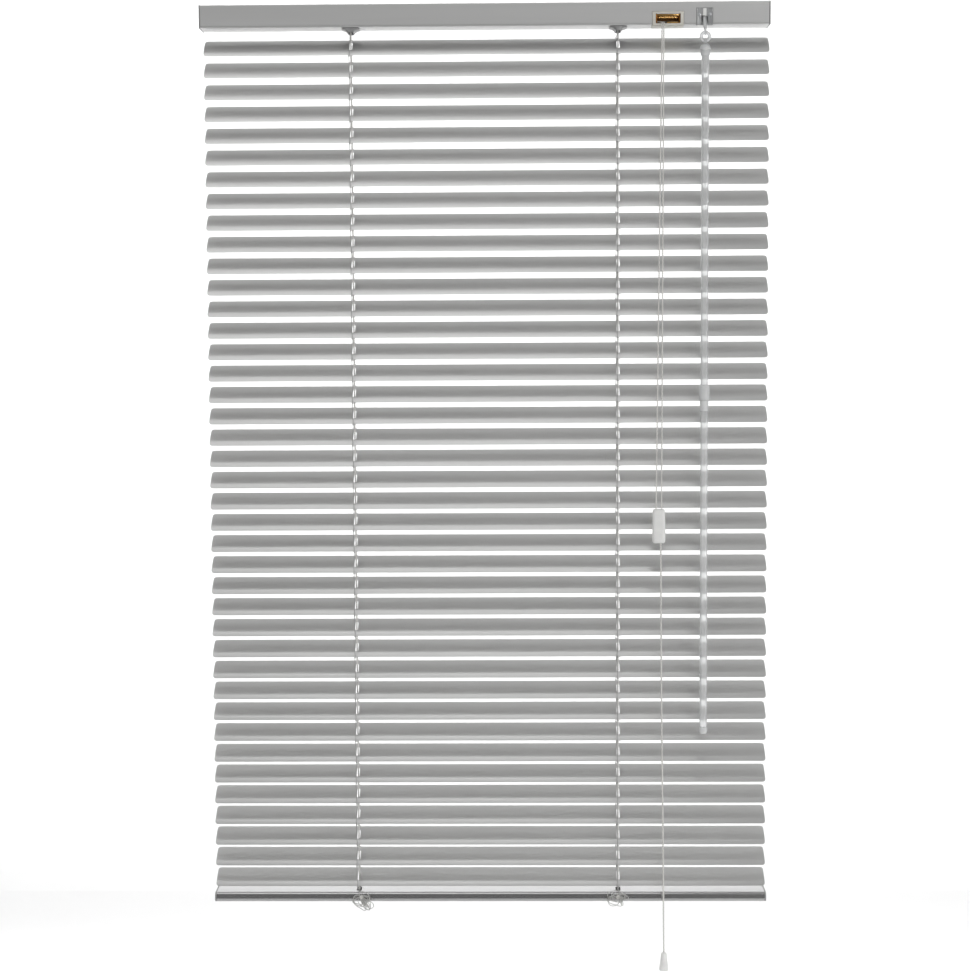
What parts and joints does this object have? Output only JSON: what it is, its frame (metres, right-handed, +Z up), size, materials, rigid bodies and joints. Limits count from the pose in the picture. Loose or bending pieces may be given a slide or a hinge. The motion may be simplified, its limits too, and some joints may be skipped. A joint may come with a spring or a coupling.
{
  "type": "venetian blind",
  "caption": "Horizontal slatted window blind with a box headrail, woven ladders, a twist wand for tilt, and a cord lock with a hanging pull cord.",
  "frame": {"origin": "centre of the headrail's back face, which lies against the wall or its brackets", "axes": "+X along the headrail to the viewer's right, +Y out of the back face into the wall, +Z up; the room is on the -Y side"},
  "size_m": [0.5642, 0.0376, 0.9709],
  "materials": {
    "slat": "satin coil-coated silver-grey paint",
    "headrail": "satin silver-grey paint on steel",
    "steel": "zinc-plated",
    "grey_plastic": "moulded",
    "clear_plastic": "clear moulded",
    "cream_plastic": "moulded",
    "brass": "turned",
    "white_plastic": "moulded",
    "cord": "braided polyester",
    "ladder": "woven polyester"
  },
  "bodies": {
    "headrail": {"headrail": "headrail", "drum_cradle_left": "grey_plastic", "drum_cradle_right": "grey_plastic", "tilter_housing": "clear_plastic", "cord_lock_housing": "cream_plastic", "lift_cord_left": "cord", "lift_cord_right": "cord", "pull_cord": "cord", "cord_connector": "white_plastic", "tassel": "white_plastic"},
    "tilt_rod": {"tilt_rod": "steel", "ladder_drum_left": "grey_plastic", "ladder_drum_right": "grey_plastic"},
    "slat_01": {"slat_01": "slat"},
    "slat_02": {"slat_02": "slat"},
    "slat_03": {"slat_03": "slat"},
    "slat_04": {"slat_04": "slat"},
    "slat_05": {"slat_05": "slat"},
    "slat_06": {"slat_06": "slat"},
    "slat_07": {"slat_07": "slat"},
    "slat_08": {"slat_08": "slat"},
    "slat_09": {"slat_09": "slat"},
    "slat_10": {"slat_10": "slat"},
    "slat_11": {"slat_11": "slat"},
    "slat_12": {"slat_12": "slat"},
    "slat_13": {"slat_13": "slat"},
    "slat_14": {"slat_14": "slat"},
    "slat_15": {"slat_15": "slat"},
    "slat_16": {"slat_16": "slat"},
    "slat_17": {"slat_17": "slat"},
    "slat_18": {"slat_18": "slat"},
    "slat_19": {"slat_19": "slat"},
    "slat_20": {"slat_20": "slat"},
    "slat_21": {"slat_21": "slat"},
    "slat_22": {"slat_22": "slat"},
    "slat_23": {"slat_23": "slat"},
    "slat_24": {"slat_24": "slat"},
    "slat_25": {"slat_25": "slat"},
    "slat_26": {"slat_26": "slat"},
    "slat_27": {"slat_27": "slat"},
    "slat_28": {"slat_28": "slat"},
    "slat_29": {"slat_29": "slat"},
    "slat_30": {"slat_30": "slat"},
    "slat_31": {"slat_31": "slat"},
    "slat_32": {"slat_32": "slat"},
    "slat_33": {"slat_33": "slat"},
    "slat_34": {"slat_34": "slat"},
    "slat_35": {"slat_35": "slat"},
    "slat_36": {"slat_36": "slat"},
    "slat_37": {"slat_37": "slat"},
    "slat_38": {"slat_38": "slat"},
    "slat_39": {"slat_39": "slat"},
    "slat_40": {"slat_40": "slat"},
    "ladder_front": {"ladder_left": "ladder"},
    "ladder_back": {"ladder_right": "ladder"},
    "bottom_rail": {"bottom_rail": "slat"},
    "tilter_worm": {"tilter_worm": "clear_plastic"},
    "wand_hook": {"wand_hook": "clear_plastic"},
    "wand": {"wand": "clear_plastic"},
    "lock_roller": {"cord_lock_roller": "brass"}
  },
  "joints": [
    {"name": "tilt", "type": "hinge", "parent": "headrail", "child": "tilt_rod", "pos_m": [0, -0.0125, 0.00125], "axis": [1, 0, 0], "range_deg": [-174, 36]},
    {"name": "slat_01_tilt", "type": "hinge", "parent": "headrail", "child": "slat_01", "pos_m": [0.0015, -0.0125, -0.02875], "axis": [1, 0, 0], "range_deg": [-108.75, 22.5]},
    {"name": "slat_02_tilt", "type": "hinge", "parent": "headrail", "child": "slat_02", "pos_m": [0.0015, -0.0125, -0.05025], "axis": [1, 0, 0], "range_deg": [-108.75, 22.5]},
    {"name": "slat_03_tilt", "type": "hinge", "parent": "headrail", "child": "slat_03", "pos_m": [0.0015, -0.0125, -0.07175], "axis": [1, 0, 0], "range_deg": [-108.75, 22.5]},
    {"name": "slat_04_tilt", "type": "hinge", "parent": "headrail", "child": "slat_04", "pos_m": [0.0015, -0.0125, -0.09325], "axis": [1, 0, 0], "range_deg": [-108.75, 22.5]},
    {"name": "slat_05_tilt", "type": "hinge", "parent": "headrail", "child": "slat_05", "pos_m": [0.0015, -0.0125, -0.11475], "axis": [1, 0, 0], "range_deg": [-108.75, 22.5]},
    {"name": "slat_06_tilt", "type": "hinge", "parent": "headrail", "child": "slat_06", "pos_m": [0.0015, -0.0125, -0.13625], "axis": [1, 0, 0], "range_deg": [-108.75, 22.5]},
    {"name": "slat_07_tilt", "type": "hinge", "parent": "headrail", "child": "slat_07", "pos_m": [0.0015, -0.0125, -0.15775], "axis": [1, 0, 0], "range_deg": [-108.75, 22.5]},
    {"name": "slat_08_tilt", "type": "hinge", "parent": "headrail", "child": "slat_08", "pos_m": [0.0015, -0.0125, -0.17925], "axis": [1, 0, 0], "range_deg": [-108.75, 22.5]},
    {"name": "slat_09_tilt", "type": "hinge", "parent": "headrail", "child": "slat_09", "pos_m": [0.0015, -0.0125, -0.20075], "axis": [1, 0, 0], "range_deg": [-108.75, 22.5]},
    {"name": "slat_10_tilt", "type": "hinge", "parent": "headrail", "child": "slat_10", "pos_m": [0.0015, -0.0125, -0.22225], "axis": [1, 0, 0], "range_deg": [-108.75, 22.5]},
    {"name": "slat_11_tilt", "type": "hinge", "parent": "headrail", "child": "slat_11", "pos_m": [0.0015, -0.0125, -0.24375], "axis": [1, 0, 0], "range_deg": [-108.75, 22.5]},
    {"name": "slat_12_tilt", "type": "hinge", "parent": "headrail", "child": "slat_12", "pos_m": [0.0015, -0.0125, -0.26525], "axis": [1, 0, 0], "range_deg": [-108.75, 22.5]},
    {"name": "slat_13_tilt", "type": "hinge", "parent": "headrail", "child": "slat_13", "pos_m": [0.0015, -0.0125, -0.28675], "axis": [1, 0, 0], "range_deg": [-108.75, 22.5]},
    {"name": "slat_14_tilt", "type": "hinge", "parent": "headrail", "child": "slat_14", "pos_m": [0.0015, -0.0125, -0.30825], "axis": [1, 0, 0], "range_deg": [-108.75, 22.5]},
    {"name": "slat_15_tilt", "type": "hinge", "parent": "headrail", "child": "slat_15", "pos_m": [0.0015, -0.0125, -0.32975], "axis": [1, 0, 0], "range_deg": [-108.75, 22.5]},
    {"name": "slat_16_tilt", "type": "hinge", "parent": "headrail", "child": "slat_16", "pos_m": [0.0015, -0.0125, -0.35125], "axis": [1, 0, 0], "range_deg": [-108.75, 22.5]},
    {"name": "slat_17_tilt", "type": "hinge", "parent": "headrail", "child": "slat_17", "pos_m": [0.0015, -0.0125, -0.37275], "axis": [1, 0, 0], "range_deg": [-108.75, 22.5]},
    {"name": "slat_18_tilt", "type": "hinge", "parent": "headrail", "child": "slat_18", "pos_m": [0.0015, -0.0125, -0.39425], "axis": [1, 0, 0], "range_deg": [-108.75, 22.5]},
    {"name": "slat_19_tilt", "type": "hinge", "parent": "headrail", "child": "slat_19", "pos_m": [0.0015, -0.0125, -0.41575], "axis": [1, 0, 0], "range_deg": [-108.75, 22.5]},
    {"name": "slat_20_tilt", "type": "hinge", "parent": "headrail", "child": "slat_20", "pos_m": [0.0015, -0.0125, -0.43725], "axis": [1, 0, 0], "range_deg": [-108.75, 22.5]},
    {"name": "slat_21_tilt", "type": "hinge", "parent": "headrail", "child": "slat_21", "pos_m": [0.0015, -0.0125, -0.45875], "axis": [1, 0, 0], "range_deg": [-108.75, 22.5]},
    {"name": "slat_22_tilt", "type": "hinge", "parent": "headrail", "child": "slat_22", "pos_m": [0.0015, -0.0125, -0.48025], "axis": [1, 0, 0], "range_deg": [-108.75, 22.5]},
    {"name": "slat_23_tilt", "type": "hinge", "parent": "headrail", "child": "slat_23", "pos_m": [0.0015, -0.0125, -0.50175], "axis": [1, 0, 0], "range_deg": [-108.75, 22.5]},
    {"name": "slat_24_tilt", "type": "hinge", "parent": "headrail", "child": "slat_24", "pos_m": [0.0015, -0.0125, -0.52325], "axis": [1, 0, 0], "range_deg": [-108.75, 22.5]},
    {"name": "slat_25_tilt", "type": "hinge", "parent": "headrail", "child": "slat_25", "pos_m": [0.0015, -0.0125, -0.54475], "axis": [1, 0, 0], "range_deg": [-108.75, 22.5]},
    {"name": "slat_26_tilt", "type": "hinge", "parent": "headrail", "child": "slat_26", "pos_m": [0.0015, -0.0125, -0.56625], "axis": [1, 0, 0], "range_deg": [-108.75, 22.5]},
    {"name": "slat_27_tilt", "type": "hinge", "parent": "headrail", "child": "slat_27", "pos_m": [0.0015, -0.0125, -0.58775], "axis": [1, 0, 0], "range_deg": [-108.75, 22.5]},
    {"name": "slat_28_tilt", "type": "hinge", "parent": "headrail", "child": "slat_28", "pos_m": [0.0015, -0.0125, -0.60925], "axis": [1, 0, 0], "range_deg": [-108.75, 22.5]},
    {"name": "slat_29_tilt", "type": "hinge", "parent": "headrail", "child": "slat_29", "pos_m": [0.0015, -0.0125, -0.63075], "axis": [1, 0, 0], "range_deg": [-108.75, 22.5]},
    {"name": "slat_30_tilt", "type": "hinge", "parent": "headrail", "child": "slat_30", "pos_m": [0.0015, -0.0125, -0.65225], "axis": [1, 0, 0], "range_deg": [-108.75, 22.5]},
    {"name": "slat_31_tilt", "type": "hinge", "parent": "headrail", "child": "slat_31", "pos_m": [0.0015, -0.0125, -0.67375], "axis": [1, 0, 0], "range_deg": [-108.75, 22.5]},
    {"name": "slat_32_tilt", "type": "hinge", "parent": "headrail", "child": "slat_32", "pos_m": [0.0015, -0.0125, -0.69525], "axis": [1, 0, 0], "range_deg": [-108.75, 22.5]},
    {"name": "slat_33_tilt", "type": "hinge", "parent": "headrail", "child": "slat_33", "pos_m": [0.0015, -0.0125, -0.71675], "axis": [1, 0, 0], "range_deg": [-108.75, 22.5]},
    {"name": "slat_34_tilt", "type": "hinge", "parent": "headrail", "child": "slat_34", "pos_m": [0.0015, -0.0125, -0.73825], "axis": [1, 0, 0], "range_deg": [-108.75, 22.5]},
    {"name": "slat_35_tilt", "type": "hinge", "parent": "headrail", "child": "slat_35", "pos_m": [0.0015, -0.0125, -0.75975], "axis": [1, 0, 0], "range_deg": [-108.75, 22.5]},
    {"name": "slat_36_tilt", "type": "hinge", "parent": "headrail", "child": "slat_36", "pos_m": [0.0015, -0.0125, -0.78125], "axis": [1, 0, 0], "range_deg": [-108.75, 22.5]},
    {"name": "slat_37_tilt", "type": "hinge", "parent": "headrail", "child": "slat_37", "pos_m": [0.0015, -0.0125, -0.80275], "axis": [1, 0, 0], "range_deg": [-108.75, 22.5]},
    {"name": "slat_38_tilt", "type": "hinge", "parent": "headrail", "child": "slat_38", "pos_m": [0.0015, -0.0125, -0.82425], "axis": [1, 0, 0], "range_deg": [-108.75, 22.5]},
    {"name": "slat_39_tilt", "type": "hinge", "parent": "headrail", "child": "slat_39", "pos_m": [0.0015, -0.0125, -0.84575], "axis": [1, 0, 0], "range_deg": [-108.75, 22.5]},
    {"name": "slat_40_tilt", "type": "hinge", "parent": "headrail", "child": "slat_40", "pos_m": [0.0015, -0.0125, -0.86725], "axis": [1, 0, 0], "range_deg": [-108.75, 22.5]},
    {"name": "ladder_front_travel", "type": "hinge", "parent": "slat_01", "child": "ladder_front", "pos_m": [0, -0.02178, -0.03887], "axis": [1, 0, 0], "range_deg": [-22.5, 108.75], "deforming": ["ladder_left"]},
    {"name": "ladder_back_travel", "type": "hinge", "parent": "slat_01", "child": "ladder_back", "pos_m": [0, -0.00191, -0.02001], "axis": [1, 0, 0], "range_deg": [-22.5, 108.75], "deforming": ["ladder_right"]},
    {"name": "bottom_rail_tilt", "type": "hinge", "parent": "headrail", "child": "bottom_rail", "pos_m": [0.0015, -0.0125, -0.88555], "axis": [1, 0, 0], "range_deg": [-8.7, 1.8]},
    {"name": "worm_spin", "type": "hinge", "parent": "headrail", "child": "tilter_worm", "pos_m": [0.217, -0.01912, 0.00477], "axis": [0, -0.4695, -0.8829], "range_deg": [-1740, 360]},
    {"name": "hook_spin", "type": "hinge", "parent": "headrail", "child": "wand_hook", "pos_m": [0.217, -0.03216, -0.01975], "axis": [0, 0, -1], "range_deg": [-1740, 360]},
    {"name": "wand_swing", "type": "hinge", "parent": "wand_hook", "child": "wand", "pos_m": [0.217, -0.03216, -0.02855], "axis": [1, 0, 0], "range_deg": [-60, 0]},
    {"name": "lock_roller_rise", "type": "slide", "parent": "headrail", "child": "lock_roller", "axis": [0, -0.5, 0.866], "range_m": [0, 0.003]}
  ],
  "couplings": [
    {"joint": "slat_01_tilt", "follows": "tilt", "ratio": 0.625},
    {"joint": "slat_02_tilt", "follows": "tilt", "ratio": 0.625},
    {"joint": "slat_03_tilt", "follows": "tilt", "ratio": 0.625},
    {"joint": "slat_04_tilt", "follows": "tilt", "ratio": 0.625},
    {"joint": "slat_05_tilt", "follows": "tilt", "ratio": 0.625},
    {"joint": "slat_06_tilt", "follows": "tilt", "ratio": 0.625},
    {"joint": "slat_07_tilt", "follows": "tilt", "ratio": 0.625},
    {"joint": "slat_08_tilt", "follows": "tilt", "ratio": 0.625},
    {"joint": "slat_09_tilt", "follows": "tilt", "ratio": 0.625},
    {"joint": "slat_10_tilt", "follows": "tilt", "ratio": 0.625},
    {"joint": "slat_11_tilt", "follows": "tilt", "ratio": 0.625},
    {"joint": "slat_12_tilt", "follows": "tilt", "ratio": 0.625},
    {"joint": "slat_13_tilt", "follows": "tilt", "ratio": 0.625},
    {"joint": "slat_14_tilt", "follows": "tilt", "ratio": 0.625},
    {"joint": "slat_15_tilt", "follows": "tilt", "ratio": 0.625},
    {"joint": "slat_16_tilt", "follows": "tilt", "ratio": 0.625},
    {"joint": "slat_17_tilt", "follows": "tilt", "ratio": 0.625},
    {"joint": "slat_18_tilt", "follows": "tilt", "ratio": 0.625},
    {"joint": "slat_19_tilt", "follows": "tilt", "ratio": 0.625},
    {"joint": "slat_20_tilt", "follows": "tilt", "ratio": 0.625},
    {"joint": "slat_21_tilt", "follows": "tilt", "ratio": 0.625},
    {"joint": "slat_22_tilt", "follows": "tilt", "ratio": 0.625},
    {"joint": "slat_23_tilt", "follows": "tilt", "ratio": 0.625},
    {"joint": "slat_24_tilt", "follows": "tilt", "ratio": 0.625},
    {"joint": "slat_25_tilt", "follows": "tilt", "ratio": 0.625},
    {"joint": "slat_26_tilt", "follows": "tilt", "ratio": 0.625},
    {"joint": "slat_27_tilt", "follows": "tilt", "ratio": 0.625},
    {"joint": "slat_28_tilt", "follows": "tilt", "ratio": 0.625},
    {"joint": "slat_29_tilt", "follows": "tilt", "ratio": 0.625},
    {"joint": "slat_30_tilt", "follows": "tilt", "ratio": 0.625},
    {"joint": "slat_31_tilt", "follows": "tilt", "ratio": 0.625},
    {"joint": "slat_32_tilt", "follows": "tilt", "ratio": 0.625},
    {"joint": "slat_33_tilt", "follows": "tilt", "ratio": 0.625},
    {"joint": "slat_34_tilt", "follows": "tilt", "ratio": 0.625},
    {"joint": "slat_35_tilt", "follows": "tilt", "ratio": 0.625},
    {"joint": "slat_36_tilt", "follows": "tilt", "ratio": 0.625},
    {"joint": "slat_37_tilt", "follows": "tilt", "ratio": 0.625},
    {"joint": "slat_38_tilt", "follows": "tilt", "ratio": 0.625},
    {"joint": "slat_39_tilt", "follows": "tilt", "ratio": 0.625},
    {"joint": "slat_40_tilt", "follows": "tilt", "ratio": 0.625},
    {"joint": "ladder_front_travel", "follows": "tilt", "ratio": -0.625},
    {"joint": "ladder_back_travel", "follows": "tilt", "ratio": -0.625},
    {"joint": "bottom_rail_tilt", "follows": "tilt", "ratio": 0.05},
    {"joint": "worm_spin", "follows": "tilt", "ratio": 10},
    {"joint": "hook_spin", "follows": "tilt", "ratio": 10}
  ]
}
